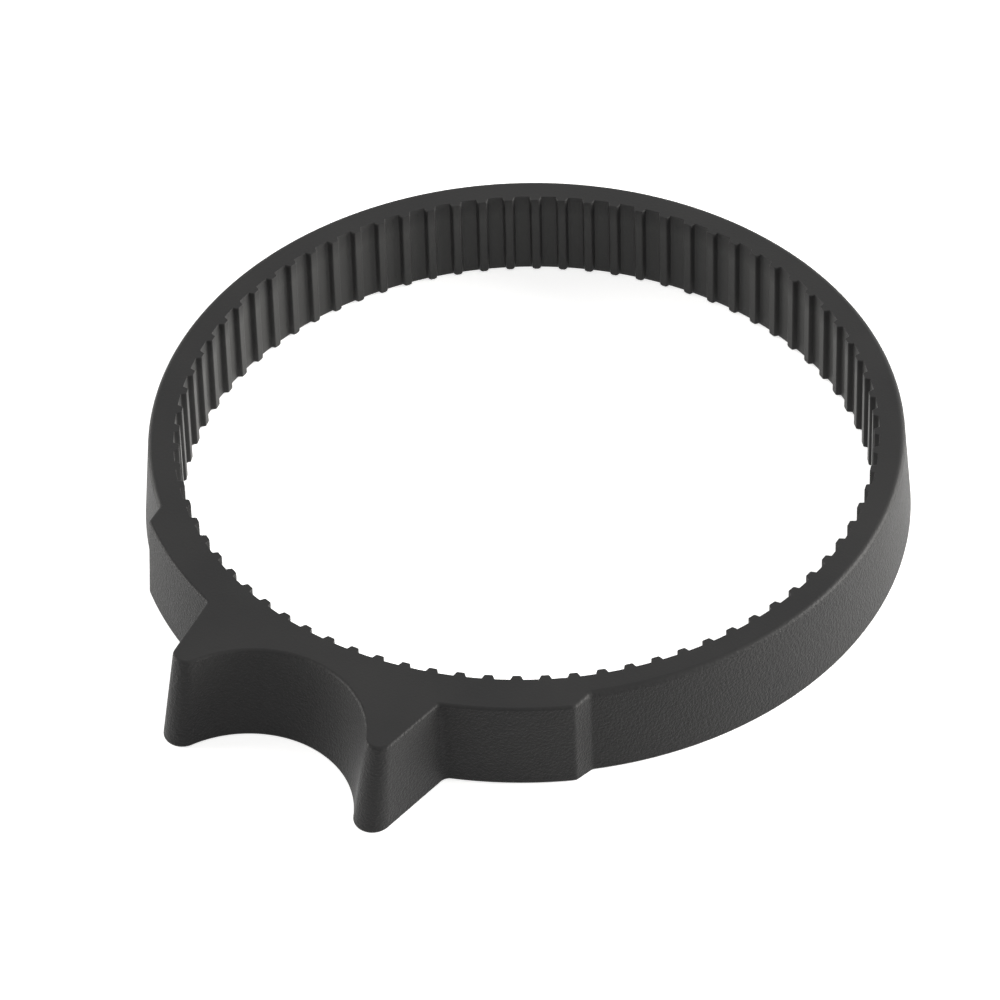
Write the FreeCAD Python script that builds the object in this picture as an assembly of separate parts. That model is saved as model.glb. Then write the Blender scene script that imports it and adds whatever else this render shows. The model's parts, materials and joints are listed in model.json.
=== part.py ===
"""A soft rubber ring that stretches over the focus barrel of a camera lens.

One moulding: a plain band with a thick pad on one side, a two-horned finger lever that stands
out of the pad, and upright ribs all round the bore that grip the barrel. The cavity of its
mould lifts off upwards, so the outside walls lean out, while the straight ribs only have their
lower ends bevelled to lead the barrel in.

Frame in mm: the ring's axis is Z, the bottom face lies at Z = 0, and the lever points to -Y.
Angles and drafts are in degrees. A size that ends in BELOW holds at the bottom face, and the
same size without it at the top face.
"""

import FreeCAD
import Part

import math
import os

# Ring
RING_HEIGHT = 10.6
GRIP_DIAMETER = 75.0
BAND_WALL = 2.75
BAND_DRAFT = 4.5

# Grip ribs in the bore: the width is at half depth, and the phase turns all ribs about the axis
RIB_COUNT = 80
RIB_PHASE = -0.6
RIB_DEPTH = 0.6
RIB_WIDTH = 1.12
RIB_FLANK_ANGLE = 22.0
RIB_CREST_ROUND = 0.22
RIB_BEVEL = 0.3

# Pad that carries the lever
PAD_RAISE = 1.6
PAD_DRAFT = 2.9
PAD_HALF_ANGLE = 40.5
STEP_WIDTH = 1.9
STEP_ROUND = 0.7

# Finger lever: a round saddle between two horns whose straight flanks lean towards its axis
SADDLE_RADIUS = 12.2
SADDLE_RADIUS_BELOW = 11.4
SADDLE_WALL = 3.45
SADDLE_DRAFT = 12.4
FLANK_DISTANCE = 19.6
FLANK_ANGLE = 7.5
FLANK_DRAFT = 4.2
TIP_RADIUS = 1.5
TIP_RADIUS_BELOW = 2.1
CORNER_ROUND = 0.4
CORNER_ROUND_BELOW = 1.1

# Edges of the moulding: each round is laid in narrow strips, within 0.03 mm of the true arc
TOP_EDGE_ROUND = 0.3
BOTTOM_EDGE_ROUND = 0.35
ROUND_STRIPS = 2

CREST_RADIUS = GRIP_DIAMETER / 2
ROOT_RADIUS = CREST_RADIUS + RIB_DEPTH
BAND_RADIUS = ROOT_RADIUS + BAND_WALL
PAD_RADIUS = BAND_RADIUS + PAD_RAISE
SADDLE_FLOOR = ROOT_RADIUS + SADDLE_WALL

UP = FreeCAD.Vector(0, 0, 1)
ORIGIN = FreeCAD.Vector(0, 0, 0)


def lean(draft, height):
    """How far a wall with this draft angle stands out at a height, against the top face."""
    return (RING_HEIGHT - height) * math.tan(math.radians(draft))


def between(above, below, height):
    """A size that goes evenly from its value at the bottom face to that at the top face."""
    return below + (above - below) * height / RING_HEIGHT


def polar(radius, angle):
    """A point at an angle in degrees that is counted from -Y towards +X."""
    turn = math.radians(angle)
    return FreeCAD.Vector(radius * math.sin(turn), -radius * math.cos(turn), 0)


def line_meets_circle(normal, distance, centre, radius, near):
    """The point nearest to `near` where the line normal.p = distance meets a circle."""
    off = distance - normal.dot(centre)
    half_chord = math.sqrt(radius**2 - off**2)
    along = FreeCAD.Vector(-normal.y, normal.x, 0)
    foot = centre + normal * off
    ends = [foot + along * half_chord, foot - along * half_chord]
    return min(ends, key=lambda end: end.distanceToPoint(near))


def towards(start, end, length):
    """The point at this length from start on the way to end, or beyond it."""
    way = FreeCAD.Vector(end - start)
    way.normalize()
    return start + way * length


def arc(start, centre, end, radius):
    """The shorter arc between two points of a circle."""
    middle = towards(centre, (start + end) * 0.5, radius)
    return Part.Arc(start, middle, end).toShape()


def half_outline(height, inset):
    """The right half's corners of the outer wall at a height, moved into the rubber by an inset.

    It gives the tangent points from the saddle to the band, with the centres and radii of the
    arcs between them. The inset shrinks an outward curve and widens a hollow one.
    """
    band = BAND_RADIUS + lean(BAND_DRAFT, height) - inset
    pad = PAD_RADIUS + lean(PAD_DRAFT, height) - inset
    flank = FLANK_DISTANCE + lean(FLANK_DRAFT, height) - inset
    floor = SADDLE_FLOOR + lean(SADDLE_DRAFT, height) - inset
    saddle = between(SADDLE_RADIUS, SADDLE_RADIUS_BELOW, height) + inset
    tip = between(TIP_RADIUS, TIP_RADIUS_BELOW, height) - inset
    corner = between(CORNER_ROUND, CORNER_ROUND_BELOW, height) + inset
    brow = STEP_ROUND - inset
    foot = STEP_ROUND + inset

    saddle_centre = FreeCAD.Vector(0, -floor - saddle, 0)
    flank_out = FreeCAD.Vector(
        math.cos(math.radians(FLANK_ANGLE)), -math.sin(math.radians(FLANK_ANGLE)), 0
    )
    beside = polar(pad, math.degrees(math.asin(FLANK_DISTANCE / PAD_RADIUS)))
    tip_centre = line_meets_circle(
        flank_out, flank - tip, saddle_centre, saddle + tip, beside
    )
    corner_centre = line_meets_circle(
        flank_out, flank + corner, ORIGIN, pad + corner, beside
    )

    half_step = math.degrees(STEP_WIDTH / 2 / PAD_RADIUS)
    high = polar(pad + inset, PAD_HALF_ANGLE - half_step)
    low = polar(band + inset, PAD_HALF_ANGLE + half_step)
    step_out = FreeCAD.Vector(low.y - high.y, high.x - low.x, 0)
    step_out.normalize()
    step = step_out.dot(high) - inset
    brow_centre = line_meets_circle(step_out, step - brow, ORIGIN, pad - brow, high)
    foot_centre = line_meets_circle(step_out, step + foot, ORIGIN, band + foot, low)
    return [
        (towards(saddle_centre, tip_centre, saddle), tip_centre, tip),
        (tip_centre + flank_out * tip, None, 0),
        (corner_centre - flank_out * corner, corner_centre, corner),
        (towards(ORIGIN, corner_centre, pad), ORIGIN, pad),
        (towards(ORIGIN, brow_centre, pad), brow_centre, brow),
        (brow_centre + step_out * brow, None, 0),
        (foot_centre - step_out * foot, foot_centre, foot),
        (towards(ORIGIN, foot_centre, band), None, 0),
    ]


def mirrored(point):
    return FreeCAD.Vector(-point.x, point.y, point.z)


def outline(height, inset):
    """The whole outer wall's outline as one closed wire at its own height."""
    corners = half_outline(height, inset)
    right, left = [], []
    for (start, centre, radius), (end, _, _) in zip(corners, corners[1:]):
        if centre is None:
            right.append(Part.LineSegment(start, end).toShape())
            left.append(Part.LineSegment(mirrored(end), mirrored(start)).toShape())
        else:
            right.append(arc(start, centre, end, radius))
            left.append(arc(mirrored(end), mirrored(centre), mirrored(start), radius))
    saddle_end, band_end = corners[0][0], corners[-1][0]
    floor = SADDLE_FLOOR + lean(SADDLE_DRAFT, height) - inset
    saddle = Part.Arc(mirrored(saddle_end), FreeCAD.Vector(0, -floor, 0), saddle_end)
    back = FreeCAD.Vector(0, band_end.Length, 0)
    band = Part.Arc(band_end, back, mirrored(band_end))
    wire = Part.Wire([saddle.toShape(), *right, band.toShape(), *reversed(left)])
    wire.translate(UP * height)
    return wire


def round_strips(radius):
    """Inset and distance from the face for each line of a round, from the wall to the face."""
    turns = [math.pi / 2 * step / ROUND_STRIPS for step in range(ROUND_STRIPS + 1)]
    return [(radius * (1 - math.cos(t)), radius * (1 - math.sin(t))) for t in turns]


def outer_body():
    """The solid inside the outer wall: ruled walls between softly rounded edges."""
    lower = [outline(up, inset) for inset, up in reversed(round_strips(BOTTOM_EDGE_ROUND))]
    upper = [outline(RING_HEIGHT - down, inset) for inset, down in round_strips(TOP_EDGE_ROUND)]
    return Part.makeLoft(lower + upper, True, True)


def bevel_wedge():
    """What comes off a rib's lower end so that the barrel slides in."""
    edge = -CREST_RADIUS - RIB_BEVEL
    reach = RIB_BEVEL + RIB_DEPTH
    corners = [
        FreeCAD.Vector(-RIB_WIDTH, edge, 0),
        FreeCAD.Vector(-RIB_WIDTH, edge + reach, reach),
        FreeCAD.Vector(-RIB_WIDTH, edge + reach, 0),
    ]
    side = Part.Face(Part.makePolygon([*corners, corners[0]]))
    return side.extrude(FreeCAD.Vector(2 * RIB_WIDTH, 0, 0))


def rib():
    """One rib, drawn at -Y: a slanted flank on each side of a crest with rounded corners."""
    slant = math.radians(RIB_FLANK_ANGLE)
    away = FreeCAD.Vector(math.cos(slant), math.sin(slant), 0)
    into_wall = FreeCAD.Vector(math.sin(slant), -math.cos(slant), 0)
    middle = FreeCAD.Vector(RIB_WIDTH / 2, -CREST_RADIUS - RIB_DEPTH / 2, 0)
    centre = line_meets_circle(
        away, away.dot(middle) - RIB_CREST_ROUND, ORIGIN, CREST_RADIUS + RIB_CREST_ROUND, middle
    )
    crest_end = towards(ORIGIN, centre, CREST_RADIUS)
    flank_start = centre + away * RIB_CREST_ROUND
    buried = flank_start + into_wall * 2 * RIB_DEPTH
    crest = Part.Arc(mirrored(crest_end), FreeCAD.Vector(0, -CREST_RADIUS, 0), crest_end)
    section = Part.Wire([
        crest.toShape(),
        arc(crest_end, centre, flank_start, RIB_CREST_ROUND),
        Part.LineSegment(flank_start, buried).toShape(),
        Part.LineSegment(buried, mirrored(buried)).toShape(),
        Part.LineSegment(mirrored(buried), mirrored(flank_start)).toShape(),
        arc(mirrored(flank_start), mirrored(centre), mirrored(crest_end), RIB_CREST_ROUND),
    ])
    return Part.Face(section).extrude(UP * RING_HEIGHT).cut(bevel_wedge())


def ring():
    """The moulding: the outer body, its bore, and the ribs all round it."""
    body = outer_body().cut(Part.makeCylinder(ROOT_RADIUS, RING_HEIGHT))
    first = rib()
    ribs = []
    for index in range(RIB_COUNT):
        copy = first.copy()
        copy.rotate(ORIGIN, UP, RIB_PHASE + index * 360 / RIB_COUNT)
        ribs.append(copy)
    (moulding,) = body.fuse(ribs).removeSplitter().Solids
    return moulding


def main():
    os.makedirs("parts", exist_ok=True)
    focus_ring = ring()
    print("focus_ring", focus_ring.ShapeType, len(focus_ring.Solids), "solid",
          len(focus_ring.Faces), "faces", round(focus_ring.Volume, 1), "mm3",
          "valid" if focus_ring.isValid() else "NOT valid")
    focus_ring.exportStep("parts/focus_ring.step")


main()
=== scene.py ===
# %% [markdown]
# # A rubber focus ring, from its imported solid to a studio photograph
#
# The object is one soft rubber moulding that stretches over the focus barrel of a camera lens.
# It has a plain band, a thick pad with a two-horned finger lever, and eighty upright grip ribs
# in its bore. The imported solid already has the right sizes. Here the same form is made again as
# one fine, closed mesh, because rubber is judged by how softly its edges turn.
#
# Lengths are in metres, Z points up, and the lever points to -Y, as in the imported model.

import json
import math

import bpy
import numpy as np
from mathutils import Matrix, Vector


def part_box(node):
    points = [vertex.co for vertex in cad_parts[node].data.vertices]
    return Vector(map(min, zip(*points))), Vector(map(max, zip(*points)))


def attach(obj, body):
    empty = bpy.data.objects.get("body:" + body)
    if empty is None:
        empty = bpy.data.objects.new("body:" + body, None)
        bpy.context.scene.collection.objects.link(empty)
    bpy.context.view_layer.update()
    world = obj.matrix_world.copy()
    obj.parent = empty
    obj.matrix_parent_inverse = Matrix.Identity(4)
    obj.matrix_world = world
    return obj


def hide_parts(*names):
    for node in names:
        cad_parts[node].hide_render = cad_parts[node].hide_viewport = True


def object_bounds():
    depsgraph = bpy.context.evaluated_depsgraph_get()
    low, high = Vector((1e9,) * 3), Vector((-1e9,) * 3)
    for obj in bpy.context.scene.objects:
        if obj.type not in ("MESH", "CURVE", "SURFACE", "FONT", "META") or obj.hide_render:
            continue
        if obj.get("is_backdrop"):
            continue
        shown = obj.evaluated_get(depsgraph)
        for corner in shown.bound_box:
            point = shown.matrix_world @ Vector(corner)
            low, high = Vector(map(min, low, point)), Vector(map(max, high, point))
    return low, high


MM = 0.001

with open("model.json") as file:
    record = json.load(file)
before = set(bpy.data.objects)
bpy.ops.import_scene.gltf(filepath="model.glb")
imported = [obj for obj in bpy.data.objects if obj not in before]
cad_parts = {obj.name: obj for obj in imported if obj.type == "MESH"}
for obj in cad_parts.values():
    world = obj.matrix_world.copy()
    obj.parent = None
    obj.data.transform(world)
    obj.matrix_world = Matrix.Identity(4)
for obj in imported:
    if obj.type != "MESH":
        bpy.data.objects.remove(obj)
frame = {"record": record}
cad_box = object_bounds()
ring_low, ring_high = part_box("focus_ring")
print("solid ring, mm:", [round(side / MM, 2) for side in ring_high - ring_low])

# %% [markdown]
# ## Sizes of the moulding
#
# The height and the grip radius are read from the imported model, so the mesh can't drift away
# from it. The other sizes describe the section and the lever as a mould maker would: radii,
# wall thicknesses and draft angles. A size that ends in `_below` holds at the bottom face, and
# its partner without that ending at the top face. The walls between the two are straight,
# because a mould is cut that way.

# %% Sizes
height = ring_high.z - ring_low.z
(grip,) = [m for m in frame["record"]["mounts"] if m["name"] == "grip"]
crest_radius = grip["dims"]["r_mm"] * MM

rib_count = 80
rib_phase = math.radians(-0.6)
rib_depth = 0.6 * MM
rib_width = 1.12 * MM
rib_flank_angle = math.radians(22)

root_radius = crest_radius + rib_depth
band_radius = root_radius + 2.75 * MM
pad_radius = band_radius + 1.6 * MM
saddle_floor = root_radius + 3.45 * MM

band_draft, pad_draft, flank_draft, saddle_draft = 4.5, 2.9, 4.2, 12.4
pad_half_angle = 40.5
step_width, step_round = 1.9 * MM, 0.7 * MM
saddle_radius, saddle_radius_below = 12.2 * MM, 11.4 * MM
flank_spread, flank_angle = 19.6 * MM, math.radians(7.5)
tip_radius, tip_radius_below = 1.5 * MM, 2.1 * MM
corner_round, corner_round_below = 0.4 * MM, 1.1 * MM
top_edge_round, bottom_edge_round = 0.3 * MM, 0.35 * MM
bore_edge_above, bore_edge_below = 0.06 * MM, 0.55 * MM

print("grip radius, mm:", crest_radius / MM, "height, mm:", round(height / MM, 3))

# %% [markdown]
# ## The outline of the outer wall
#
# Seen from above, the outer wall is a chain of arcs and straight lines: saddle, horn tip, flank,
# corner, pad, step and band. It could be traced from a picture, but then every arc would be a
# little wrong. It is cheaper and truer to work out where each arc touches the next, once for the
# top face and once for the bottom face. The right half is enough, as the left is its mirror.


# %% Tangent points
def lean(draft):
    """How far a wall with this draft stands out at the bottom face."""
    return height * math.tan(math.radians(draft))


def line_meets_circle(normal, distance, centre, radius, near):
    """The point nearest to `near` where the line normal.p = distance meets a circle."""
    off = distance - normal.dot(centre)
    along = Vector((-normal.y, normal.x)) * math.sqrt(radius**2 - off**2)
    foot = centre + normal * off
    return min([foot + along, foot - along], key=lambda end: (end - near).length)


def towards(start, end, length):
    return start + (end - start).normalized() * length


def polar(radius, degrees):
    """A point at an angle that is counted from -Y towards +X."""
    turn = math.radians(degrees)
    return Vector((radius * math.sin(turn), -radius * math.cos(turn)))


def half_outline(below):
    """Start, arc centre (None for a straight) and name of each stretch, saddle to band."""
    share = 1 if below else 0
    band = band_radius + share * lean(band_draft)
    pad = pad_radius + share * lean(pad_draft)
    flank = flank_spread + share * lean(flank_draft)
    floor = saddle_floor + share * lean(saddle_draft)
    saddle = saddle_radius_below if below else saddle_radius
    tip = tip_radius_below if below else tip_radius
    corner = corner_round_below if below else corner_round
    axis = Vector((0, 0))

    saddle_centre = Vector((0, -floor - saddle))
    out = Vector((math.cos(flank_angle), -math.sin(flank_angle)))
    beside = polar(pad, math.degrees(math.asin(flank_spread / pad_radius)))
    tip_centre = line_meets_circle(out, flank - tip, saddle_centre, saddle + tip, beside)
    corner_centre = line_meets_circle(out, flank + corner, axis, pad + corner, beside)

    half_step = math.degrees(step_width / 2 / pad_radius)
    high = polar(pad, pad_half_angle - half_step)
    low = polar(band, pad_half_angle + half_step)
    step_out = Vector((low.y - high.y, high.x - low.x)).normalized()
    face = step_out.dot(high)
    brow_centre = line_meets_circle(step_out, face - step_round, axis, pad - step_round, high)
    foot_centre = line_meets_circle(step_out, face + step_round, axis, band + step_round, low)
    return [
        (Vector((0, -floor)), saddle_centre, "saddle"),
        (towards(saddle_centre, tip_centre, saddle), tip_centre, "tip"),
        (tip_centre + out * tip, None, "flank"),
        (corner_centre - out * corner, corner_centre, "corner"),
        (towards(axis, corner_centre, pad), axis, "pad"),
        (towards(axis, brow_centre, pad), brow_centre, "brow"),
        (brow_centre + step_out * step_round, None, "step"),
        (foot_centre - step_out * step_round, foot_centre, "foot"),
        (towards(axis, foot_centre, band), axis, "band"),
        (Vector((0, band)), None, "back"),
    ]


# %% [markdown]
# ## Two rails with matching points
#
# The wall is ruled: point for point, a straight line joins the bottom outline to the top one.
# For that, both outlines get the same number of points, dealt out stretch by stretch. The
# number follows from the ribs, since one column of points serves the bore and the outer wall.

# %% Points along the rails
columns_per_rib = 28
column_count = rib_count * columns_per_rib
column_shares = {"saddle": 66, "tip": 26, "flank": 44, "corner": 9, "pad": 80,
                 "brow": 7, "step": 10, "foot": 7}


def along_stretch(start, centre, end, steps):
    """Even steps along a straight or along the shorter arc, without its last point."""
    if centre is None:
        return [start.lerp(end, i / steps) for i in range(steps)]
    first, last = start - centre, end - centre
    turn = first.angle_signed(last)
    spokes = [Matrix.Rotation(-turn * i / steps, 2) @ first for i in range(steps)]
    return [centre + spoke for spoke in spokes]


def rail(below):
    """The whole outline, counter-clockwise from the middle of the saddle."""
    stretches = half_outline(below)
    right = []
    for (start, centre, name), (end, _, _) in zip(stretches, stretches[1:]):
        steps = column_shares.get(name, column_count // 2 - sum(column_shares.values()))
        right += along_stretch(start, centre, end, steps)
    back = stretches[-1][0]
    left = [Vector((-point.x, point.y)) for point in reversed(right[1:])]
    level = 0 if below else height
    return [Vector((point.x, point.y, level)) for point in right + [back] + left]


rail_below, rail_above = rail(True), rail(False)
print("rail points:", len(rail_below), len(rail_above), "of", column_count)

# %% [markdown]
# ## One section for the whole ring
#
# Cut through the ring anywhere and the section has the same make-up: bore wall, bottom face,
# outer wall, top face, with soft edges between them. Each row of the mesh is one point of that
# section, written as three numbers: 0 for the bore side or 1 for the outer side, how deep it
# lies inside that wall, and its height. The large rounds have more rows near their ends, so that
# the flat faces beside them keep a true shade. The bore's upper edge is nearly sharp, while the
# ribs' lower ends are well rounded so that the barrel slides in. One more row lies in each flat
# face, a little way in from the bore.

# %% Rows of the section
soft_steps = [math.radians(angle) for angle in (0, 5, 20, 38, 56, 74, 86, 90)]
crisp_steps = [math.radians(angle) for angle in (0, 45, 90)]
bridge_depth = 0.9 * MM
touching = 1e-7
edge_fade = 0.3 * MM


def edge_round(side, radius, at_top, steps):
    """Rows of one rounded edge, where a step of 0 is the wall and 90 degrees the face."""
    rows = []
    for step in steps:
        depth = radius * (1 - math.cos(step))
        drop = radius * (1 - math.sin(step))
        rows.append((side, depth, height - drop if at_top else drop))
    return rows


def wall_rows(side, low, high, count):
    """Rows at even heights between two levels of a wall."""
    return [(side, 0, low + (high - low) * i / (count + 1)) for i in range(1, count + 1)]


section = edge_round(0, bore_edge_above, True, crisp_steps[::-1])
section += wall_rows(0, height - bore_edge_above, bore_edge_below, 3)
section += edge_round(0, bore_edge_below, False, soft_steps)
section += [(0, bridge_depth, 0)]
section += edge_round(1, bottom_edge_round, False, soft_steps[::-1])
section += wall_rows(1, bottom_edge_round, height - top_edge_round, 3)
section += edge_round(1, top_edge_round, True, soft_steps)
section += [(0, bridge_depth, height)]
print("rows round the section:", len(section))

# %% [markdown]
# ## A small language for node trees
#
# Both the mesh rule and the materials are node trees. Placed one by one, maths nodes hide the
# formula that they stand for, so a socket is wrapped in a class that understands Python's
# operators: writing `a * b + c` adds the two maths nodes. Any other node comes from one method,
# which takes its type, its settings and then its sockets.


# %% Sockets as Python values
class Term:
    """A socket of a node tree that takes part in Python arithmetic."""

    def __init__(self, graph, socket):
        self.graph, self.socket = graph, socket

    def output(self, name):
        """Another output of the same node."""
        return Term(self.graph, self.socket.node.outputs[name])

    def __add__(self, other):
        return self.graph.maths("ADD", self, other)

    def __radd__(self, other):
        return self.graph.maths("ADD", other, self)

    def __sub__(self, other):
        return self.graph.maths("SUBTRACT", self, other)

    def __rsub__(self, other):
        return self.graph.maths("SUBTRACT", other, self)

    def __mul__(self, other):
        return self.graph.maths("MULTIPLY", self, other)

    def __rmul__(self, other):
        return self.graph.maths("MULTIPLY", other, self)

    def __truediv__(self, other):
        return self.graph.maths("DIVIDE", self, other)

    def __mod__(self, other):
        return self.graph.maths("FLOORED_MODULO", self, other)

    def __gt__(self, other):
        return self.graph.maths("GREATER_THAN", self, other)


class Graph:
    """A node tree whose nodes are added by short calls."""

    def __init__(self, tree):
        self.tree = tree

    def node(self, kind, settings=None, inputs=None, output=0):
        """Adds a node: its settings come first, then its sockets' values or links."""
        added = self.tree.nodes.new(kind)
        for name, value in (settings or {}).items():
            setattr(added, name, value)
        for key, value in (inputs or {}).items():
            self.feed(added.inputs[key], value)
        return Term(self, added.outputs[output])

    def feed(self, socket, value):
        if isinstance(value, Term):
            self.tree.links.new(value.socket, socket)
        else:
            socket.default_value = value

    def maths(self, operation, *values, clamp=False):
        settings = {"operation": operation, "use_clamp": clamp}
        return self.node("ShaderNodeMath", settings, dict(enumerate(values)))

    def vector(self, operation, *values):
        return self.node("ShaderNodeVectorMath", {"operation": operation}, dict(enumerate(values)))

    def blend(self, share, first, second):
        """Mixes two vectors, a colour or a position, by a share from 0 to 1."""
        inputs = {0: share, 4: first, 5: second}
        return self.node("ShaderNodeMix", {"data_type": "VECTOR"}, inputs, 1)

    def ramp(self, value, start, end):
        """How far a value has come from start to end, held between 0 and 1."""
        return self.maths("DIVIDE", value - start, end - start, clamp=True)


# %% [markdown]
# ## The ring as a rule
#
# Eighty equal ribs are work for Geometry Nodes. The tree starts from a bare grid of columns and
# rows. For each grid point it looks up its row of the section and its column of the two rails,
# and then places it: outer points on the ruled wall, bore points on the rib form. A rib's side
# is a slanted line between crest and root, and a smooth minimum and maximum turn its two corners
# into the crest's round and the root's small hollow. Of the fourteen columns from a rib's middle
# to a recess's middle, nine lie on the flank, where the shape changes fastest. Where the section
# dips into the rubber at an edge, the rib grows lower by the same amount and narrower by rather
# more, so that its end comes to a blunt point, while the recess beside it dips by a quarter of
# that only. The top edge is twice as soft along the thin band as it is on the pad and lever.

# %% The tree and its named inputs
ring_tree = bpy.data.node_groups.new("grip_ring", "GeometryNodeTree")
interface = ring_tree.interface
interface.new_socket("Guides", in_out="INPUT", socket_type="NodeSocketGeometry")
interface.new_socket("Ring", in_out="OUTPUT", socket_type="NodeSocketGeometry")
ring_sizes = {
    "Height": height,
    "Crest radius": crest_radius,
    "Rib depth": rib_depth,
    "Rib width": rib_width,
    "Flank angle": rib_flank_angle,
    "Rib phase": rib_phase,
    "Crest softness": 0.26 * MM,
    "Root softness": 0.08 * MM,
    "Rib end narrowing": 1.7,
    "Recess edge share": 0.25,
    "Band edge softness": 2.0,
}
size_identifiers = {}
for title in ring_sizes:
    socket = interface.new_socket(title, in_out="INPUT", socket_type="NodeSocketFloat")
    size_identifiers[title] = socket.identifier
socket = interface.new_socket("Rubber", in_out="INPUT", socket_type="NodeSocketMaterial")
rubber_identifier = socket.identifier

ring = Graph(ring_tree)
group_input = ring_tree.nodes.new("NodeGroupInput")
size = {title: Term(ring, group_input.outputs[title]) for title in ring_sizes}
guides = Term(ring, group_input.outputs["Guides"])

# %% Row and column of each grid point
row_count = len(section)
grid = ring.node("GeometryNodeMeshGrid", inputs={
    "Size X": 1.0, "Size Y": 1.0, "Vertices X": column_count + 1, "Vertices Y": row_count + 1,
})
index = ring.node("GeometryNodeInputIndex")
column = ring.maths("FLOOR", (index + 0.5) / (row_count + 1)) % column_count
row = (index % (row_count + 1)) % row_count
guide_position = ring.node("GeometryNodeInputPosition")


def guide(number):
    """The position of one guide point, by its number."""
    settings = {"data_type": "FLOAT_VECTOR"}
    whole = ring.node("FunctionNodeFloatToInt", {"rounding_mode": "ROUND"}, {0: number})
    inputs = {"Geometry": guides, "Value": guide_position, "Index": whole}
    return ring.node("GeometryNodeSampleIndex", settings, inputs)


section_point = guide(row + 2 * column_count)
side = ring.node("ShaderNodeSeparateXYZ", inputs={0: section_point})
depth, level = side.output("Y"), side.output("Z")

# %% Points of the outer wall
step_end = sum(column_shares.values())
step_start = step_end - sum(column_shares[name] for name in ("brow", "step", "foot"))
from_lever = ring.maths("MINIMUM", column, column_count - column)
drop = size["Height"] - level
in_top_edge = ring.maths("LESS_THAN", drop, top_edge_round + 0.01 * MM)
softer = (size["Band edge softness"] - 1) * ring.ramp(from_lever, step_start, step_end)
softness = 1 + softer * in_top_edge
share_up = 1 - drop * softness / size["Height"]


def wall_point(number):
    """The point at this column's place on the ruled wall, at the row's own height."""
    return ring.blend(share_up, guide(number), guide(number + column_count))


before = wall_point((column + column_count - 1) % column_count)
after = wall_point((column + 1) % column_count)
along = ring.vector("NORMALIZE", ring.vector("SUBTRACT", after, before))
inwards = ring.vector("CROSS_PRODUCT", (0, 0, 1), along)
inset = depth * softness
step_in = ring.node("ShaderNodeVectorMath", {"operation": "SCALE"}, {0: inwards, "Scale": inset})
outer_point = ring.vector("ADD", wall_point(column), step_in)

# %% Points of the ribbed bore
crest_columns, flank_columns = 3, 9
crest_reach, root_reach = 0.45, 0.5
recess_columns = columns_per_rib // 2 - crest_columns - flank_columns
pitch_angle = math.tau / rib_count

place = column / columns_per_rib
nearest_rib = ring.maths("FLOOR", place + 0.5)
beside_rib = ring.maths("ABSOLUTE", place - nearest_rib) * columns_per_rib
which_side = ring.maths("SIGN", place - nearest_rib)

flank_slope = ring.maths("TANGENT", size["Flank angle"])
half_width = size["Rib width"] / 2
half_slant = flank_slope * size["Rib depth"] / 2
crest_end = half_width - half_slant - size["Crest softness"] * crest_reach
flank_end = half_width + half_slant + size["Root softness"] * root_reach
root = size["Crest radius"] + size["Rib depth"]
middle_radius = root - size["Rib depth"] / 2
recess_end = middle_radius * (pitch_angle / 2)
first_bend, last_bend = crest_columns, crest_columns + flank_columns
across = (
    crest_end * ring.ramp(beside_rib, 0, first_bend)
    + (flank_end - crest_end) * ring.ramp(beside_rib, first_bend, last_bend)
    + (recess_end - flank_end) * ring.ramp(beside_rib, last_bend, last_bend + recess_columns)
)
narrowing = depth * size["Rib end narrowing"]
flank_line = size["Rib depth"] / 2 + (half_width - narrowing - across) / flank_slope
crest_line = size["Rib depth"] - depth
recess_line = depth * size["Recess edge share"] * -1
crest_turn = ring.maths("SMOOTH_MIN", flank_line, crest_line, size["Crest softness"])
rib_rise = ring.maths("SMOOTH_MAX", crest_turn, recess_line, size["Root softness"])
bore_radius = root - rib_rise
bore_angle = (
    size["Rib phase"] - math.pi / 2 + nearest_rib * pitch_angle
    + which_side * across / middle_radius
)
bore_point = ring.node("ShaderNodeCombineXYZ", inputs={
    0: bore_radius * ring.maths("COSINE", bore_angle),
    1: bore_radius * ring.maths("SINE", bore_angle),
    2: level,
})

# %% [markdown]
# ## From points to one closed skin
#
# The grid's first and last column now lie on each other, and so do its first and last row, so
# merging them closes the skin. The two flat faces are shaded flat and everything else smooth.
# The tree also marks two kinds of wall for the material. The outer one has the mould's grain. The
# bore has hardly any, and gets painted light: a paler tone that stands in for light on it, most so
# on the crests and in the recesses, while the flanks keep more painted shade.

# %% Close the skin, shade it, mark the grained walls and paint light into the bore
placed_level = ring.node("ShaderNodeSeparateXYZ", inputs={0: guide_position}).output("Z")
half_height = size["Height"] / 2
in_a_face = ring.maths("ABSOLUTE", placed_level - half_height) > half_height - touching
from_a_face = half_height - ring.maths("ABSOLUTE", level - half_height)
in_the_wall = ring.ramp(from_a_face, 0, edge_fade)



def marked(geometry, name, value):
    """Stores a value at every point under a name that the material can read."""
    settings = {"data_type": "FLOAT", "domain": "POINT"}
    inputs = {"Geometry": geometry, "Name": name, "Value": value}
    return ring.node("GeometryNodeStoreNamedAttribute", settings, inputs)


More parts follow.
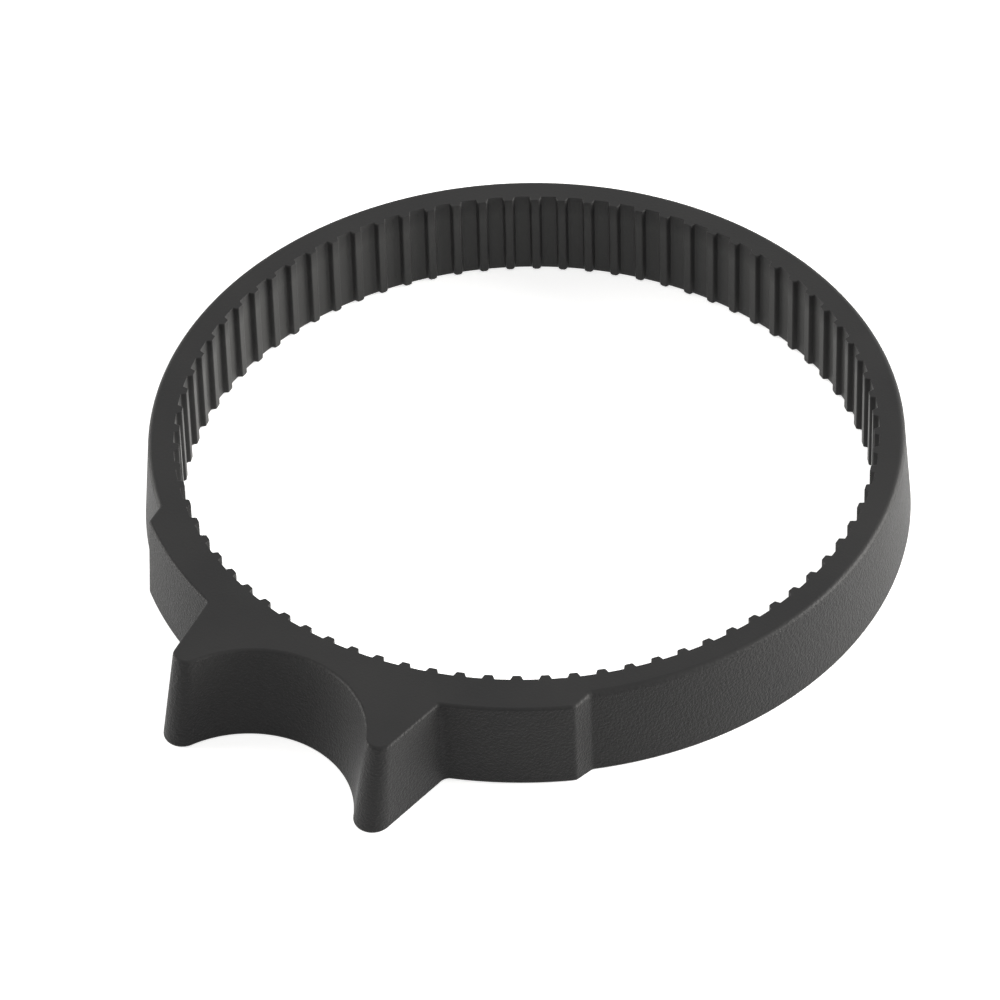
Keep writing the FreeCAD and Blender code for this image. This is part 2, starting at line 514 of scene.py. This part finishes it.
grained = marked(grid, "moulded_grain", side * in_the_wall)
# Painted light for the bore, column by column: full on the crests and in the recesses, a smaller
# share on the flanks, which are left in painted shade.
flank_middle = (first_bend + last_bend) / 2
flank_light_share = 0.4
columns_away = ring.maths("ABSOLUTE", beside_rib - flank_middle)
off_flank = ring.ramp(columns_away, 2, flank_columns / 2 + 1)
bore_light_share = off_flank * (1 - flank_light_share) + flank_light_share
with_bore_light = marked(grained, "painted_bore_light", (1 - side) * in_the_wall * bore_light_share)
formed = ring.node("GeometryNodeSetPosition", inputs={
    "Geometry": with_bore_light, "Position": ring.blend(side, bore_point, outer_point),
})
closed = ring.node("GeometryNodeMergeByDistance", inputs={"Geometry": formed, "Distance": touching})
rounded = ring.node("GeometryNodeSetShadeSmooth", inputs={"Geometry": closed})
shaded = ring.node("GeometryNodeSetShadeSmooth", inputs={
    "Geometry": rounded, "Selection": in_a_face, "Shade Smooth": False,
})
realized = ring.node("GeometryNodeRealizeInstances", inputs={"Geometry": shaded})
finished = ring.node("GeometryNodeSetMaterial", inputs={
    "Geometry": realized, "Material": Term(ring, group_input.outputs["Rubber"]),
})
group_output = ring_tree.nodes.new("NodeGroupOutput")
ring_tree.links.new(finished.socket, group_output.inputs["Ring"])
print("nodes in the ring's tree:", len(ring_tree.nodes))

# %% [markdown]
# ## Soft-touch rubber
#
# The real surface is a dark grey-black rubber with hardly any gloss. Its outer walls carry a
# fine leathery grain from the etched mould, with bumps about a third of a millimetre apart,
# while the top face is smoother. A picture of grain could be wrapped round the ring, but noise
# on object coordinates needs no unwrapping and has no seam. Three things vary: the height of
# the grain, the roughness, and the colour, which drifts very slightly and carries painted light
# in the bore, a paler tone standing in for light that reaches it.

# %% The rubber material
rubber = bpy.data.materials.new("soft_touch_rubber")
rubber.use_nodes = True
skin = Graph(rubber.node_tree)
principled = rubber.node_tree.nodes["Principled BSDF"]
principled.inputs["Specular IOR Level"].default_value = 0.12

place_on_ring = skin.node("ShaderNodeTexCoord", output="Object")


def noise(scale, detail, roughness=0.5):
    """Even noise on the ring, with a scale in features per metre."""
    inputs = {"Vector": place_on_ring, "Scale": scale, "Detail": detail, "Roughness": roughness}
    return skin.node("ShaderNodeTexNoise", inputs=inputs)


def mark(name):
    return skin.node("ShaderNodeAttribute", {"attribute_name": name}, output="Fac")


def tint(share, first, second):
    """Mixes two colours by a share from 0 to 1."""
    return skin.node("ShaderNodeMix", {"data_type": "RGBA"}, {0: share, 6: first, 7: second}, 2)


# The bore's mark carries painted light: it makes the bore paler where light would fall on it.
grain_mask, bore_light_mask = mark("moulded_grain"), mark("painted_bore_light")
leather = noise(3200, 2.0, 0.55)
fine = noise(8000, 1.0)
cloud = noise(90, 3.0)
fine_share, smooth_share = 0.35, 0.1
grain_strength = grain_mask * (1 - smooth_share) + smooth_share
bump = skin.node("ShaderNodeBump", inputs={
    "Strength": 1.0, "Distance": 0.14 * MM,
    "Height": (leather + fine * fine_share) * grain_strength,
})
shade = skin.ramp(cloud, 0.3, 0.7)
grey = tint(shade, (0.0195, 0.0195, 0.02, 1), (0.0235, 0.0233, 0.0235, 1))
# The bore's paler colour is painted light, standing in for the light on its crests and recesses.
skin.feed(principled.inputs["Base Color"], tint(bore_light_mask, grey, (0.044, 0.044, 0.0435, 1)))
skin.feed(principled.inputs["Roughness"], 0.4 + 0.07 * shade + 0.04 * grain_mask)
skin.feed(principled.inputs["Normal"], bump)
print("material:", rubber.name, "with", len(rubber.node_tree.nodes), "nodes")

# %% [markdown]
# ## Running the rule
#
# The tree reads its rails and its section from one mesh of loose points, in that order. Its
# inputs are set by their identifiers before the object is first evaluated. The result is copied
# to a plain mesh of its own, and the guides with their modifier are thrown away.

# %% Make the ring
guide_points = rail_below + rail_above + [Vector(point) for point in section]
guide_mesh = bpy.data.meshes.new("ring_guides")
guide_mesh.from_pydata([tuple(point) for point in guide_points], [], [])
guide_object = bpy.data.objects.new("ring_guides", guide_mesh)
bpy.context.scene.collection.objects.link(guide_object)
modifier = guide_object.modifiers.new("grip_ring", "NODES")
modifier.node_group = ring_tree
for title, value in ring_sizes.items():
    modifier[size_identifiers[title]] = value
modifier[rubber_identifier] = rubber

evaluated = guide_object.evaluated_get(bpy.context.evaluated_depsgraph_get())
ring_mesh = bpy.data.meshes.new_from_object(evaluated)
ring_mesh.name = "rubber_ring"
bpy.data.objects.remove(guide_object)
rubber_ring = bpy.data.objects.new("rubber_ring", ring_mesh)
bpy.context.scene.collection.objects.link(rubber_ring)


# %% Look the skin over
def skin_report(mesh):
    """Triangles, open edges and enclosed volume of a mesh, with its sizes in mm."""
    mesh.calc_loop_triangles()
    points = np.empty(len(mesh.vertices) * 3)
    mesh.vertices.foreach_get("co", points)
    points = points.reshape(-1, 3)
    corners = np.empty(len(mesh.loop_triangles) * 3, np.int32)
    mesh.loop_triangles.foreach_get("vertices", corners)
    a, b, c = (points[corners.reshape(-1, 3)[:, i]] for i in range(3))
    volume = np.einsum("ij,ij->", a, np.cross(b, c)) / 6
    used = np.empty(len(mesh.loops), np.int32)
    mesh.loops.foreach_get("edge_index", used)
    open_edges = int((np.bincount(used, minlength=len(mesh.edges)) != 2).sum())
    sizes = [round(side / MM, 2) for side in points.max(0) - points.min(0)]
    return len(mesh.loop_triangles), open_edges, round(volume / MM**3, 1), sizes


triangles, open_edges, volume, sizes = skin_report(ring_mesh)
print("ring:", triangles, "triangles,", open_edges, "open edges,", volume, "mm3,", sizes, "mm")

# %% Put it in the frame in place of the solid
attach(rubber_ring, "root")
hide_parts("focus_ring")

# %% [markdown]
# ## Floor and backdrop
#
# The photograph has the ring on pure white. A white floor lit hard enough to burn out would also
# flood the rubber with light, so the floor is an ordinary white surface with a little glow that
# only the camera and reflections see. Its soft contact shadow stays. The world does the same
# for the backdrop, and gives everything else a plain soft light.

# %% Floor
floor_size = 3.0
floor_mesh = bpy.data.meshes.new("floor")
corner = floor_size / 2
floor_mesh.from_pydata(
    [(-corner, -corner, 0), (corner, -corner, 0), (corner, corner, 0), (-corner, corner, 0)],
    [], [(0, 1, 2, 3)],
)
floor = bpy.data.objects.new("floor", floor_mesh)
floor.location.z = ring_low.z
bpy.context.scene.collection.objects.link(floor)

floor_paint = bpy.data.materials.new("white_floor")
floor_paint.use_nodes = True
paint = Graph(floor_paint.node_tree)
floor_shader = floor_paint.node_tree.nodes["Principled BSDF"]
floor_shader.inputs["Base Color"].default_value = (0.82, 0.82, 0.82, 1)
floor_shader.inputs["Roughness"].default_value = 0.9
floor_shader.inputs["Specular IOR Level"].default_value = 0.1


def seen_or_mirrored(graph):
    """1 for rays from the camera and for reflected or passed-on ones, and 0 for the rest."""
    rays = graph.node("ShaderNodeLightPath", output="Is Camera Ray")
    both = graph.maths("MAXIMUM", rays, rays.output("Is Glossy Ray"))
    return graph.maths("MAXIMUM", both, rays.output("Is Transmission Ray"))


floor_glow = 0.65
glow = paint.node("ShaderNodeMix", {"data_type": "RGBA"}, {
    0: seen_or_mirrored(paint), 6: (0, 0, 0, 1), 7: (floor_glow, floor_glow, floor_glow, 1),
}, 2)
paint.feed(floor_shader.inputs["Emission Color"], glow)
floor_shader.inputs["Emission Strength"].default_value = 1.0
floor_mesh.materials.append(floor_paint)
floor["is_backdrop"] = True

# %% World
world = bpy.data.worlds.new("white_room")
bpy.context.scene.world = world
world.use_nodes = True
room = Graph(world.node_tree)
background = world.node_tree.nodes["Background"]
room_light = 0.36
strength = seen_or_mirrored(room) * (1 - room_light) + room_light
room.feed(background.inputs["Strength"], strength)
background.inputs["Color"].default_value = (1, 1, 1, 1)

# %% [markdown]
# ## Camera
#
# The camera stands about 0.76 m away behind a long lens, looks down by 43.65 degrees and is
# rolled by 1.66 degrees. These figures came from fitting the ring's circles and ribs to
# the photograph, so the render can be laid over it.

# %% Camera
camera_turn = math.radians(33.7)
camera_elevation = math.radians(43.65)
camera_roll = math.radians(-1.66)
fit_radius = 40.53 * MM
camera_offset = Vector((0.0755, 0.0009, 18.833)) * fit_radius
focal_pixels, image_pixels = 7003, 1000

ahead = Vector((0, math.cos(camera_elevation), -math.sin(camera_elevation)))
right = Vector((1, 0, 0))
level_axes = Matrix((right, ahead.cross(right), ahead))
roll = Matrix.Rotation(camera_roll, 3, "Z")
axes = roll @ level_axes
turn = Matrix.Rotation(camera_turn, 3, "Z")
position = turn @ (axes.transposed() @ -camera_offset)
pose = Matrix((axes[0], -axes[1], -axes[2])).transposed()

camera_data = bpy.data.cameras.new("camera")
camera_data.sensor_width = 36
camera_data.lens = focal_pixels / image_pixels * 36
camera = bpy.data.objects.new("camera", camera_data)
camera.matrix_world = Matrix.Translation(position) @ (turn @ pose).to_4x4()
bpy.context.scene.collection.objects.link(camera)
bpy.context.scene.camera = camera
print("camera at, mm:", [round(value / MM, 1) for value in position])

# %% [markdown]
# ## Light
#
# The ring's left and right walls shine softly while its front stays dark. That look comes from
# two large, low panels at the sides, a little behind the ring. A weak third one stands high up
# on the camera's side and keeps the bore from going black. All are very slightly warm.


# %% Softboxes
slightly_warm = (1, 0.985, 0.95)


def softbox(name, azimuth, elevation, distance, width, strength):
    """A square panel that faces the ring, its azimuth counted from the camera's own."""
    panel = bpy.data.lights.new(name, "AREA")
    panel.size = width
    panel.energy = strength
    panel.color = slightly_warm
    lamp = bpy.data.objects.new(name, panel)
    around = camera_turn + math.radians(azimuth) - math.pi / 2
    lift = math.radians(elevation)
    spot = Vector((
        math.cos(around) * math.cos(lift), math.sin(around) * math.cos(lift), math.sin(lift)
    )) * distance
    lamp.location = spot
    lamp.rotation_euler = spot.to_track_quat("Z", "Y").to_euler()
    bpy.context.scene.collection.objects.link(lamp)


softbox("panel_left", -108, 13, 0.9, 0.6, 13)
softbox("panel_right", 98, 13, 0.9, 0.6, 26)
softbox("panel_above", 5, 50, 1.0, 0.7, 2)

# %% [markdown]
# ## Colour management
#
# With the Standard view a colour renders as it was written.

# %% View settings
bpy.context.scene.view_settings.view_transform = "Standard"

# %% Compare the boxes
seen_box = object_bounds()
growth = (seen_box[1] - seen_box[0]) - (cad_box[1] - cad_box[0])
print("visual box minus solid box, mm:", [round(side / MM, 3) for side in growth])
